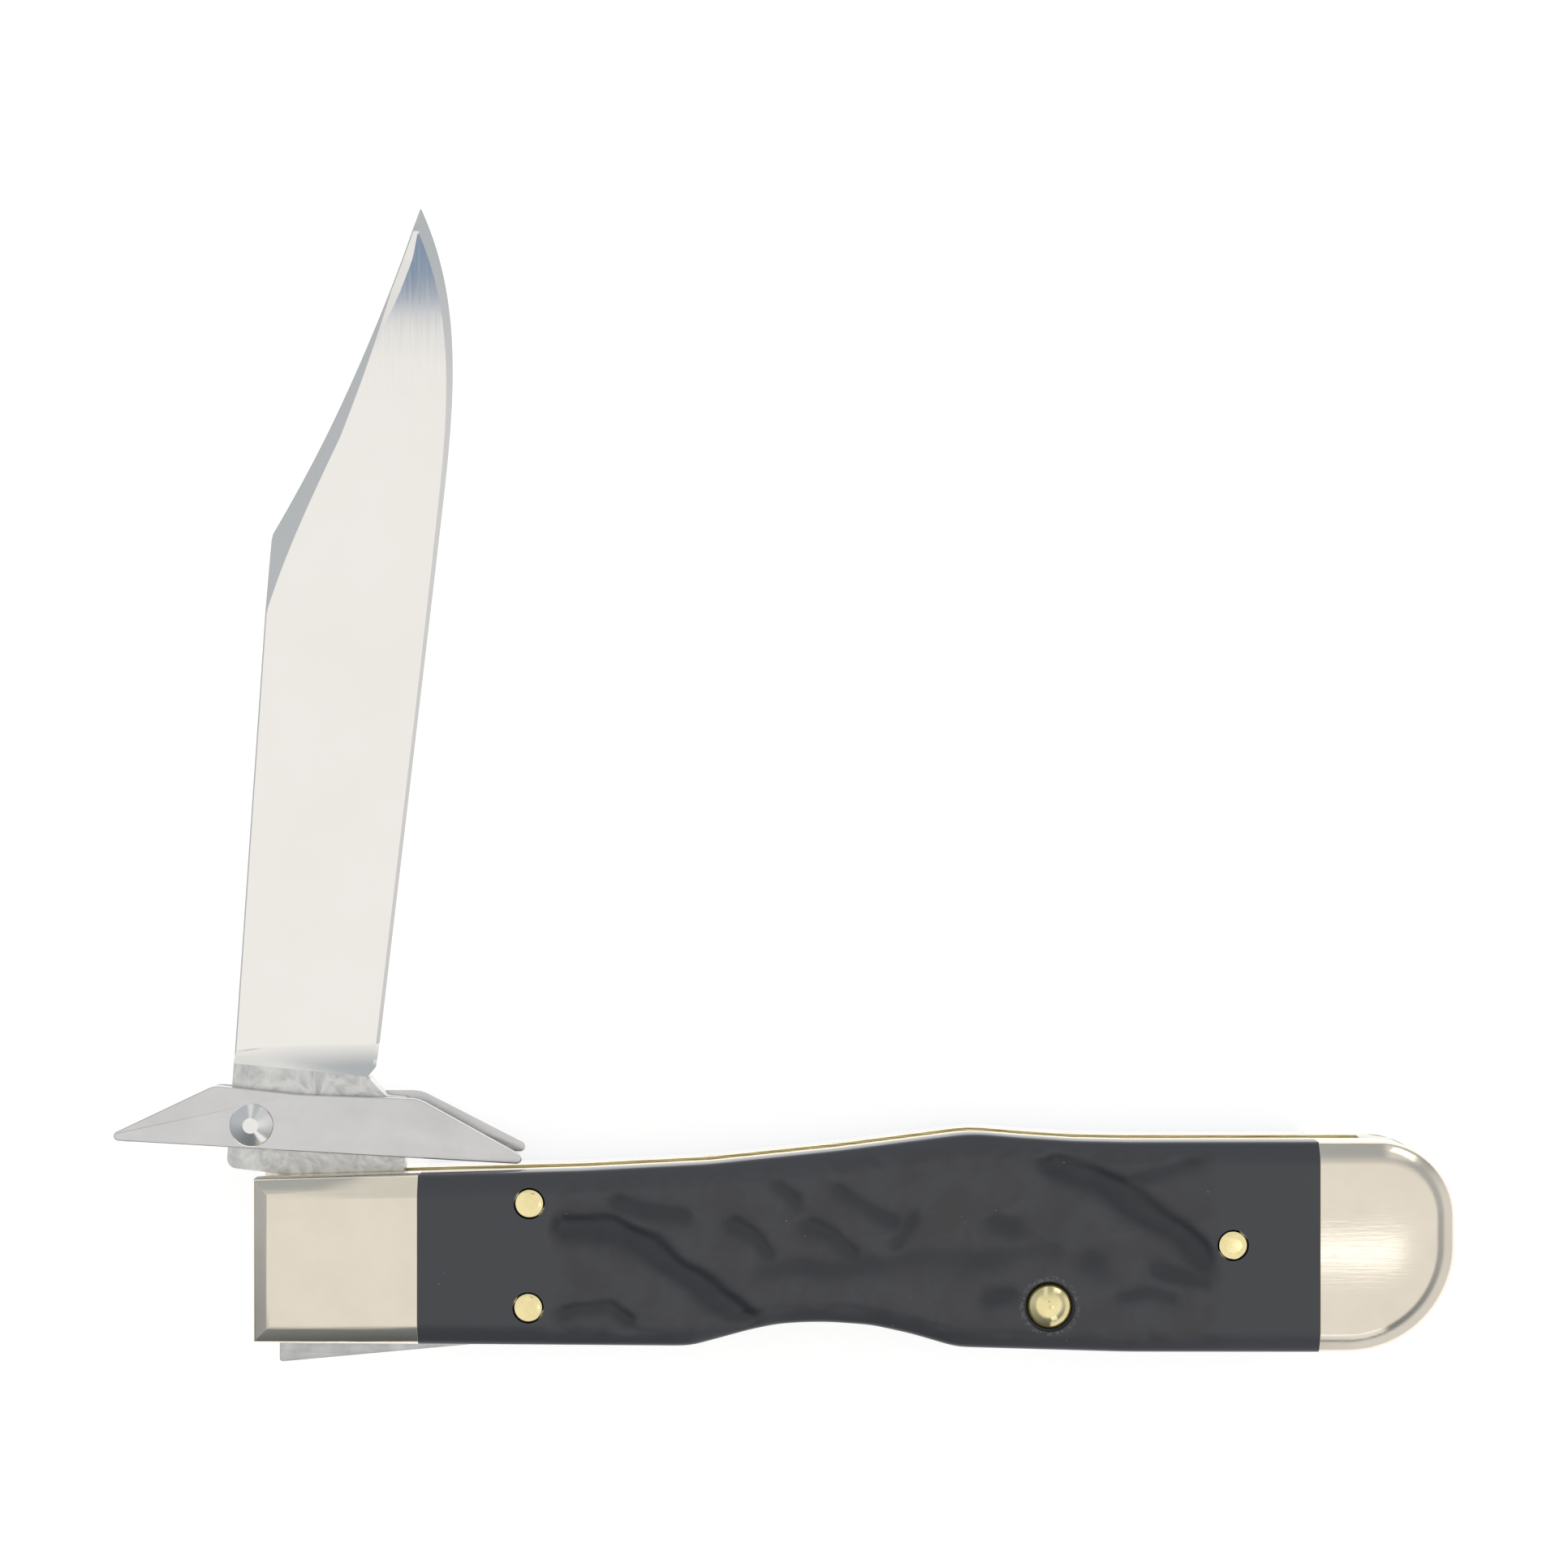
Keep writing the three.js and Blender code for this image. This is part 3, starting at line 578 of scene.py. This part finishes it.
def drill(piece, holes):
    """Cuts round holes along Z through a piece: each is its place, radius and two heights in mm."""
    for (x, y), radius, low, high in holes:
        bpy.ops.mesh.primitive_cylinder_add(
            vertices=64, radius=radius * mm, depth=(high - low) * mm,
            location=(x * mm, y * mm, (low + high) / 2 * mm))
        cutter = bpy.context.active_object
        cut = piece.modifiers.new("hole", "BOOLEAN")
        cut.operation = "DIFFERENCE"
        cut.solver = "EXACT"
        cut.object = cutter
        bpy.ops.object.select_all(action="DESELECT")
        piece.select_set(True)
        bpy.context.view_layer.objects.active = piece
        bpy.ops.object.modifier_apply(modifier=cut.name)
        bpy.data.objects.remove(cutter)


def centre(name):
    """Middle of a CAD node in mm."""
    low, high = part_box(name)
    return (low + high) / 2 / mm


def scale_material():
    """Black moulded cover: mottled and duller where it is carved, with painted shade in its grooves,
    polished on its side walls, with rare pale specks and the ragged mark of the cutter round the
    recess of the spring's pin."""
    material, tree = new_material("black_jigged_scale")
    shader = node(tree, "ShaderNodeBsdfPrincipled", Metallic=0.0)
    place = node(tree, "ShaderNodeTexCoord").outputs["Object"]
    surface = node(tree, "ShaderNodeGroup", node_tree=scratches)
    surface.inputs["Stretch"].default_value = 0.12
    surface.inputs["Fineness"].default_value = 2600.0
    surface.inputs["Cloud Size"].default_value = 300.0
    surface.inputs["Swirl"].default_value = 0.6
    depth = node(tree, "ShaderNodeAttribute", attribute_name="cut")
    grain = node(tree, "ShaderNodeTexVoronoi", Scale=900.0)
    rare = node(tree, "ShaderNodeTexNoise", Scale=600.0, Detail=0.0)
    ragged = node(tree, "ShaderNodeTexNoise", Scale=3000.0, Detail=2.0)
    from_pin = node(tree, "ShaderNodeVectorMath", operation="DISTANCE")
    flat = node(tree, "ShaderNodeVectorMath", operation="MULTIPLY")
    flat.inputs[1].default_value = (1, 1, 0)
    from_pin.inputs[1].default_value = (spring_head.x * mm, spring_head.y * mm, 0)
    facing = node(tree, "ShaderNodeNewGeometry")
    lean = node(tree, "ShaderNodeSeparateXYZ")
    steep = node(tree, "ShaderNodeMath", operation="ABSOLUTE")
    bump = node(tree, "ShaderNodeBump", Distance=0.012 * mm)
    links = tree.links
    for taker in (surface, grain, rare, ragged):
        links.new(place, taker.inputs["Vector"])
    links.new(place, flat.inputs[0])
    links.new(flat.outputs[0], from_pin.inputs[0])
    links.new(facing.outputs["True Normal"], lean.inputs[0])
    links.new(lean.outputs["Z"], steep.inputs[0])
    cloud = product(tree, between(tree, surface.outputs["Cloud"], 0.36, 0.64),
                    between(tree, depth.outputs["Fac"], 0.01, 0.10))
    sunk = between(tree, depth.outputs["Fac"], 0.08, 0.42)
    wall = between(tree, steep.outputs[0], 0.40, 0.20)
    speck = product(tree, between(tree, grain.outputs["Distance"], 0.045, 0.03),
                    between(tree, rare.outputs["Fac"], 0.62, 0.67))
    away = from_pin.outputs["Value"]
    inner_edge, outer_edge = [[(recess_radius + far) * mm for far in edge] for edge in chatter_edges]
    chatter = product(tree, between(tree, away, *inner_edge), between(tree, away, *outer_edge),
                      between(tree, ragged.outputs["Fac"], 0.46, 0.62))
    colour = mixed(tree, cloud, scale_colour, scale_mottle)
    # Painted shade: the deeper the carving, the darker the colour
    colour = mixed(tree, sunk, colour, scale_groove_shade)
    colour = mixed(tree, chatter, colour, scale_chatter)
    colour = mixed(tree, speck, colour, scale_speck)
    gloss = ranged(tree, wall, 0, 1, 0.32, 0.06)
    shine = ranged(tree, cloud, 0, 1, 0.42, 0.48)
    shine = product(tree, shine, ranged(tree, sunk, 0, 1, 1.0, 0.78))
    links.new(colour, shader.inputs["Base Color"])
    links.new(gloss, shader.inputs["Roughness"])
    links.new(shine, shader.inputs["Specular IOR Level"])
    links.new(ranged(tree, wall, 0, 1, 1.5, 2.4), shader.inputs["IOR"])
    links.new(ranged(tree, wall, 0, 1, 1.0, 0.0), bump.inputs["Strength"])
    links.new(surface.outputs["Lines"], bump.inputs["Height"])
    links.new(bump.outputs[0], shader.inputs["Normal"])
    links.new(shader.outputs[0], tree.nodes["Material Output"].inputs["Surface"])
    return material


front_rivet = centre("scale_rivet_front_near")
rear_rivet = centre("scale_rivet_rear_near")
rocker = centre("rocker_pin")
spring_head = centre("spring_pin")
rivet_radius = 1.3
ring_gap = 0.14
shank_radius = 0.9
shank_gap = 0.05
head_radius = 2.15
head_gap = 0.2
recess_radius = head_radius + head_gap
recess_depth = 0.9
# Beyond the recess, where the cutter's ragged mark comes up, and where it is gone and fades
chatter_edges = ((0.01, 0.07), (0.60, 0.20))
black_scale = scale_material()

for side in ("far", "near"):
    cover = carved_scale(side)
    low, high = [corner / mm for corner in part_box(f"scale_{side}")]
    floor = high.z - recess_depth if side == "near" else low.z + recess_depth
    recess = (floor, high.z + 1) if side == "near" else (low.z - 1, floor)
    drill(cover, [
        (front_rivet.xy, rivet_radius + ring_gap, low.z - 1, high.z + 1),
        (rear_rivet.xy, rivet_radius + ring_gap, low.z - 1, high.z + 1),
        (rocker.xy, rivet_radius + ring_gap, low.z - 1, high.z + 1),
        (spring_head.xy, shank_radius + shank_gap, low.z - 1, high.z + 1),
        (spring_head.xy, recess_radius, *recess),
    ])
    bpy.ops.object.shade_smooth_by_angle(angle=math.radians(40))
    fit(cover, f"carved_scale_{side}", "handle", black_scale, "black_scale", f"scale_{side}")


# Brass pins. Rivets that go through the scales, with ends ground nearly flush, the rocker's pin,
# and the spring's pin, whose spun head stands as a low polished dome in a recess.
pin_brass = metal("spun_brass", (0.86, 0.75, 0.42, 1), (0.78, 0.67, 0.36, 1), 0.10,
                  fineness=7000.0, cloud_size=900.0, contrast=0.03, relief=0.003)
pin_sides = 64
head_seat = 0.82
head_lip = 0.1
dome_height = 1.15
dome_steps = 14
centre_mark = 0.05


def turned(place, profile, crease=35):
    """A turned piece about Z: rings of (radius, height) in mm, joined and closed at both ends."""
    radius, height = profile[0]
    bpy.ops.mesh.primitive_circle_add(
        vertices=pin_sides, radius=radius * mm, fill_type="NGON",
        location=(place[0] * mm, place[1] * mm, height * mm))
    piece = bpy.context.active_object
    bpy.ops.object.transform_apply(location=True, rotation=True, scale=True)
    bpy.ops.object.mode_set(mode="EDIT")
    bpy.ops.mesh.select_all(action="SELECT")
    for next_radius, next_height in profile[1:]:
        bpy.ops.mesh.extrude_region_move(
            TRANSFORM_OT_translate={"value": (0, 0, (next_height - height) * mm)})
        share = next_radius / radius
        bpy.ops.transform.resize(
            value=(share, share, 1), center_override=(place[0] * mm, place[1] * mm, 0))
        radius, height = next_radius, next_height
    bpy.ops.mesh.select_all(action="SELECT")
    bpy.ops.mesh.normals_make_consistent(inside=False)
    bpy.ops.object.mode_set(mode="OBJECT")
    bpy.ops.object.shade_smooth_by_angle(angle=math.radians(crease))
    return piece


def ground_end(radius, height, out):
    """Rings of a rivet's end: a tiny rounded edge and a face that is barely domed."""
    rings = [(radius, height - out * 0.10), (radius - 0.03, height - out * 0.04),
             (radius - 0.10, height - out * 0.012), (radius * 0.5, height)]
    return rings if out > 0 else rings[::-1]


for place in ("front", "rear"):
    for side in ("far", "near"):
        name = f"scale_rivet_{place}_{side}"
        low, high = [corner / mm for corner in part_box(name)]
        middle = centre(name)
        if side == "near":
            rings = [(rivet_radius, low.z)] + ground_end(rivet_radius, high.z, 1)
        else:
            rings = ground_end(rivet_radius, low.z, -1) + [(rivet_radius, high.z)]
        fit(turned(middle, rings), f"rivet_{place}_{side}", "handle", pin_brass, "brass", name)

low, high = [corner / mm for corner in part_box("rocker_pin")]
rings = ground_end(rivet_radius, low.z, -1) + ground_end(rivet_radius, high.z, 1)
fit(turned(rocker, rings), "rocker_axle", "rocker", pin_brass, "brass", "rocker_pin")

low, high = [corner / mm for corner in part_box("spring_pin")]


def domed_head(seat, out):
    """Rings of the spun head from its shank to its crown, which keeps the mark of its centre."""
    rings = [(shank_radius, seat), (head_radius, seat)]
    for step in range(dome_steps):
        angle = step / dome_steps * math.pi / 2
        height = head_lip + dome_height * math.sin(angle)
        rings.append((head_radius * math.cos(angle), seat + out * height))
    crown = seat + out * (head_lip + dome_height)
    rings += [(0.12, crown), (0.07, crown - out * centre_mark)]
    return rings if out > 0 else rings[::-1]


rings = domed_head(low.z + head_seat, -1) + domed_head(high.z - head_seat, 1)
fit(turned(spring_head, rings), "domed_spring_pin", "handle", pin_brass, "brass", "spring_pin")


# Blade. Stainless steel, flat ground from the spine to a narrow sharpened bevel, with a swedge
# along the clip. The square tang is blanked and keeps the grey of its heat treatment. The two
# are closed shells in one piece. Lengths are in the blade's own frame: u across it, v along it.
blade_tilt = math.radians(3.95)
blade_middle = 6.4
tang_half = 1.3
spine_line = -10.24
spine_chamfer = 0.13
chamfer_slope = math.tan(math.radians(31))
# The plunge, where the round of the grinding wheel runs out into the tang
plunge_at_spine = 14.79
plunge_at_edge = 14.37
plunge_width = 13.28
plunge_fall = (plunge_at_edge - plunge_at_spine) / plunge_width
plunge_length = 4.2
plunge_steps = 26
run_at_edge = 3.15
wheel_radius = 4.0
first_slope = 0.15
most_crisp = 0.6
tuck_back = 0.3
tuck_in = 0.02
# The outline from the notch round the belly to the tip and back along the clip
notch = ((2.45, 13.9), (2.45, 14.5))
heel = (3.02, 15.35)
belly_start = (5.31, 62.5)
belly_bends = ((5.84, 75.1), (6.98, 86.2))
clip_start = 64.33
clip_bend = (-3.18, 78.13)
tip = (1.56, 96.03)
tip_cut = 0.12
tip_zone = 8
# The swedge and the strip that is buffed over beside it
swedge_start = 56.6
swedge_bends = ((-6.93, 70.94), (0.99, 82.93))
swedge_fades = (74, 88.5)
swedge_slope = math.tan(math.radians(20))
buffed_width = 0.85
buffed_fades = (82, 88)
buffed_slope = math.tan(math.radians(9))
# The flat grind, a little stronger at the tip, and the bevel of the edge
grind_slopes = (0.0745, 0.0590)
stronger_from = 52
stronger_to = 82
stronger_tip = 0.07
behind_edge = 0.15
edge_foot = 0.03
edge_slope = math.tan(math.radians(23))
slope_before_edge = 0.06
# The widest that the strips of a row may get near the tip, as shares of the row
widest_hair = 0.02
widest_chamfer = 0.1
widest_swedge = 0.3
widest_buffed = 0.24
widest_sharp = 0.62
steel_light = (0.83, 0.81, 0.785, 1)
steel_dark = (0.815, 0.795, 0.765, 1)


def bend(points, share):
    """Points on a Bezier curve of any order."""
    points = [np.array(point, float) for point in points]
    rows = [np.outer(np.ones_like(share), point) for point in points]
    while len(rows) > 1:
        rows = [a + (b - a) * share[:, None] for a, b in zip(rows[:-1], rows[1:])]
    return rows[0]


share = np.linspace(0, 1, 80)
edge_curve = np.vstack([[*notch, heel], bend((belly_start, *belly_bends, tip), share)])
spine_curve = np.vstack([
    [(spine_line, 0)],
    bend(((spine_line, clip_start), clip_bend, tip), share),
])
swedge_curve = np.vstack([
    [(spine_line, 0)],
    bend(((spine_line, swedge_start), *swedge_bends, tip), share),
])


def across(curve, v):
    """Where a curve of the blade lies at a distance v along it."""
    return float(np.interp(v, curve[:, 1], curve[:, 0]))


def plunge_line(u):
    """Where the tang ends and the plunge starts, at a distance u across the blade."""
    return plunge_at_spine + plunge_fall * (u - spine_line)


def ground_half(u, v):
    """Half thickness of the flat grind, which falls from the spine to the line of the edge."""
    share = (v - heel[1]) / (belly_start[1] - heel[1])
    straight = heel[0] + share * (belly_start[0] - heel[0])
    grind = np.interp(share, (0, 1), grind_slopes)
    stronger = np.interp(v, (stronger_from, stronger_to), (0, stronger_tip))
    return behind_edge + stronger + grind * (straight - u)


def satin_row(v, right, columns):
    """One row of the near side, from the spine to the edge, as u and half thickness."""
    left = across(spine_curve, v)
    width = right - left
    hair = min(0.01, widest_hair * width)
    chamfer = min(spine_chamfer, widest_chamfer * width)
    swedge = (across(swedge_curve, v) - left) * np.interp(v, swedge_fades, (1, 0.1))
    line = left + max(min(swedge, widest_swedge * width), chamfer + hair)
    strip = min(buffed_width, widest_buffed * width) * np.interp(v, buffed_fades, (0, 1))
    buffed = line + max(strip, hair)
    if v > heel[1]:
        bevel = (ground_half(right, v) - edge_foot) / (edge_slope - slope_before_edge)
        sharp = min(bevel, widest_sharp * width)
        half_sharp = edge_foot + sharp * edge_slope
        last = edge_foot
    else:
        sharp = 0.02
        half_sharp = last = ground_half(right - sharp, v)
    half_buffed = min(ground_half(buffed, v), edge_foot + (right - buffed) * edge_slope)
    half_line = half_buffed - (buffed - line) * buffed_slope
    half_chamfer = half_line - (line - left - chamfer) * swedge_slope
    half_left = half_chamfer - chamfer * chamfer_slope
    u = np.linspace(buffed, right - sharp, columns - 4)
    half = np.linspace(half_buffed, min(half_sharp, half_buffed), columns - 4)
    u = np.concatenate([[left, left + chamfer, line], u, [right]])
    half = np.concatenate([[half_left, half_chamfer, half_line], half, [last]])
    return u, np.maximum(half, edge_foot)


def ground_part():
    """The ground part: its near half drawn row by row, closed, mirrored and turned in place."""
    columns = 18
    lengths = np.concatenate([
        np.linspace(plunge_at_spine + plunge_length, swedge_start - 1, 14)[:-1],
        np.linspace(swedge_start - 1, tip[1] - tip_zone, 52)[:-1],
        np.linspace(tip[1] - tip_zone, tip[1] - tip_cut, 34),
    ])
    rows = plunge_steps + len(lengths) + 1
    bpy.ops.mesh.primitive_grid_add(x_subdivisions=columns - 1, y_subdivisions=rows - 1, size=1)
    piece = bpy.context.active_object
    bpy.ops.object.mode_set(mode="EDIT")
    mesh = bmesh.from_edit_mesh(piece.data)
    mesh.verts.ensure_lookup_table()
    ordered = sorted(mesh.verts, key=lambda vertex: (round(vertex.co.y, 6), round(vertex.co.x, 6)))
    for row in range(rows):
        rest = max(1 - max(row - 1, 0) / (plunge_steps - 1), 0)
        flat = row > plunge_steps
        v_right = lengths[row - plunge_steps - 1] if flat else plunge_at_edge + (1 - rest) * run_at_edge
        u_row, half_row = satin_row(v_right, across(edge_curve, v_right), columns)
        for u, half, vertex in zip(u_row, half_row, ordered[row * columns:(row + 1) * columns]):
            fall = tang_half - half
            run = math.sqrt(2 * wheel_radius * fall)
            crisp = min(first_slope * run / fall, most_crisp)
            full = tang_half - fall * (1 - crisp * rest - (1 - crisp) * rest ** 2)
            v = v_right if flat else plunge_line(u) + (1 - rest) * run
            if row == 0:
                u += tuck_in if u < 0 else -tuck_in
                v -= tuck_back
                full = tang_half - tuck_in
            vertex.co = (u * mm, v * mm, full * mm)
    bmesh.update_edit_mesh(piece.data)
    bpy.ops.mesh.select_mode(type="EDGE")
    bpy.ops.mesh.select_all(action="DESELECT")
    bpy.ops.mesh.select_non_manifold()
    bpy.ops.mesh.extrude_region_move()
    bpy.ops.transform.resize(value=(1, 1, 0), center_override=(0, 0, 0))
    bpy.ops.mesh.select_all(action="SELECT")
    bpy.ops.mesh.duplicate()
    bpy.ops.transform.resize(value=(1, 1, -1), center_override=(0, 0, 0))
    bpy.ops.mesh.select_all(action="SELECT")
    bpy.ops.mesh.remove_doubles(threshold=0.0002 * mm)
    bpy.ops.mesh.normals_make_consistent(inside=False)
    bpy.ops.transform.rotate(value=blade_tilt, orient_axis="Z", center_override=(0, 0, 0))
    bpy.ops.transform.translate(value=(0, 0, blade_middle * mm))
    bpy.ops.object.mode_set(mode="OBJECT")
    return piece


def blanked_tang():
    """The tang: the CAD blade without what lies beyond the plunge."""
    piece = cleaned_copy("blade")
    cut_at = plunge_at_spine * along_blade + spine_line * across_blade
    cut_facing = (along_blade - across_blade * plunge_fall).normalized()
    bpy.ops.object.mode_set(mode="EDIT")
    bpy.ops.mesh.select_all(action="SELECT")
    bpy.ops.mesh.bisect(plane_co=cut_at * mm, plane_no=cut_facing, use_fill=True,
                        clear_outer=True, clear_inner=False)
    bpy.ops.object.mode_set(mode="OBJECT")
    return piece


along_blade = Vector((math.sin(blade_tilt), math.cos(blade_tilt), 0))
across_blade = Vector((math.cos(blade_tilt), -math.sin(blade_tilt), 0))
ground = ground_part()
tang = blanked_tang()
bpy.ops.object.select_all(action="DESELECT")
tang.select_set(True)
ground.select_set(True)
bpy.context.view_layer.objects.active = ground
bpy.ops.object.join()
bpy.ops.object.shade_smooth_by_angle(angle=math.radians(5))
satin_steel = metal("satin_blade_steel", steel_light, steel_dark, 0.06, turn=90, stretch=0.015,
                    fineness=9000.0, cloud_size=120.0, contrast=0.02, relief=0.001)
fit(ground, "ground_blade", "blade_body", satin_steel, "polished_steel", "blade")
tang_steel = metal("blanked_tang_steel", (0.64, 0.64, 0.63, 1), (0.44, 0.44, 0.44, 1), 0.34,
                   turn=30, stretch=0.35, fineness=2400.0, cloud_size=330.0, swirl=2.6,
                   contrast=0.08, relief=0.02)
ground.data.materials.append(tang_steel)
for face in ground.data.polygons:
    spot = face.center / mm
    u, v = spot.dot(across_blade), spot.dot(along_blade)
    if v < plunge_line(u) - 0.01:
        face.material_index = 1


# Guard. Two stamped plates of stainless steel on one pin through the tang. They swing out of
# the way as the blade closes. The pin's ends are coned, with a small flat left by the lathe.
guard_steel = metal("stamped_guard_steel", (0.62, 0.61, 0.61, 1), (0.575, 0.57, 0.57, 1), 0.24,
                    turn=2, stretch=0.03, fineness=8000.0, contrast=0.03, relief=0.003)
for side in ("far", "near"):
    plate = cleaned_copy(f"guard_plate_{side}")
    soften_edges(plate, 0.3, 5)
    fit(plate, f"guard_wing_{side}", f"guard_{side}", guard_steel, "polished_steel",
        f"guard_plate_{side}")

pin_steel = metal("turned_pin_steel", (0.80, 0.79, 0.77, 1), (0.74, 0.73, 0.71, 1), 0.16,
                  fineness=9000.0, contrast=0.03, relief=0.004)
guard_head_height = 0.75
guard_shank_radius = 1.1
low, high = [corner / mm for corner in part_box("guard_pin")]
middle = centre("guard_pin")


def coned_head(top, out):
    """Rings of the guard pin's head, from its shank to the small flat on top."""
    seat = top - out * guard_head_height
    rings = [(guard_shank_radius, seat), (1.93, seat), (2.0, seat + out * 0.06),
             (2.0, seat + out * 0.15), (1.94, seat + out * 0.21),
             (0.80, top - out * 0.03), (0.72, top)]
    return rings if out > 0 else rings[::-1]


rings = coned_head(low.z, -1) + coned_head(high.z, 1)
fit(turned(middle, rings, crease=12), "guard_axle", "guard_pivot", pin_steel, "polished_steel",
    "guard_pin")


# Lock. A steel rocker bar lies in the back of the handle with its tooth on the tang, and a leaf
# spring in the filler at the butt pushes up its tail. The bar and the filler are left as milled.
bar_steel = metal("mill_finished_steel", (0.62, 0.62, 0.615, 1), (0.50, 0.50, 0.50, 1), 0.36,
                  fineness=5000.0, cloud_size=520.0, contrast=0.07, relief=0.02)
for name, body, made in (("lock_bar", "bar", "rocker_bar"), ("back_spacer", "handle", "butt_filler")):
    piece = cleaned_copy(name)
    soften_edges(piece, 0.06, 2)
    fit(piece, made, body, bar_steel, "polished_steel", name)
spring_blue = metal("blued_spring_steel", (0.34, 0.36, 0.40, 1), (0.27, 0.28, 0.31, 1), 0.34)
for name, material in (("lock_spring", spring_blue), ("pivot_pin", nickel_silver),
                       ("rear_bolster_pin", nickel_silver)):
    nodes[name].data.materials.clear()
    nodes[name].data.materials.append(material)
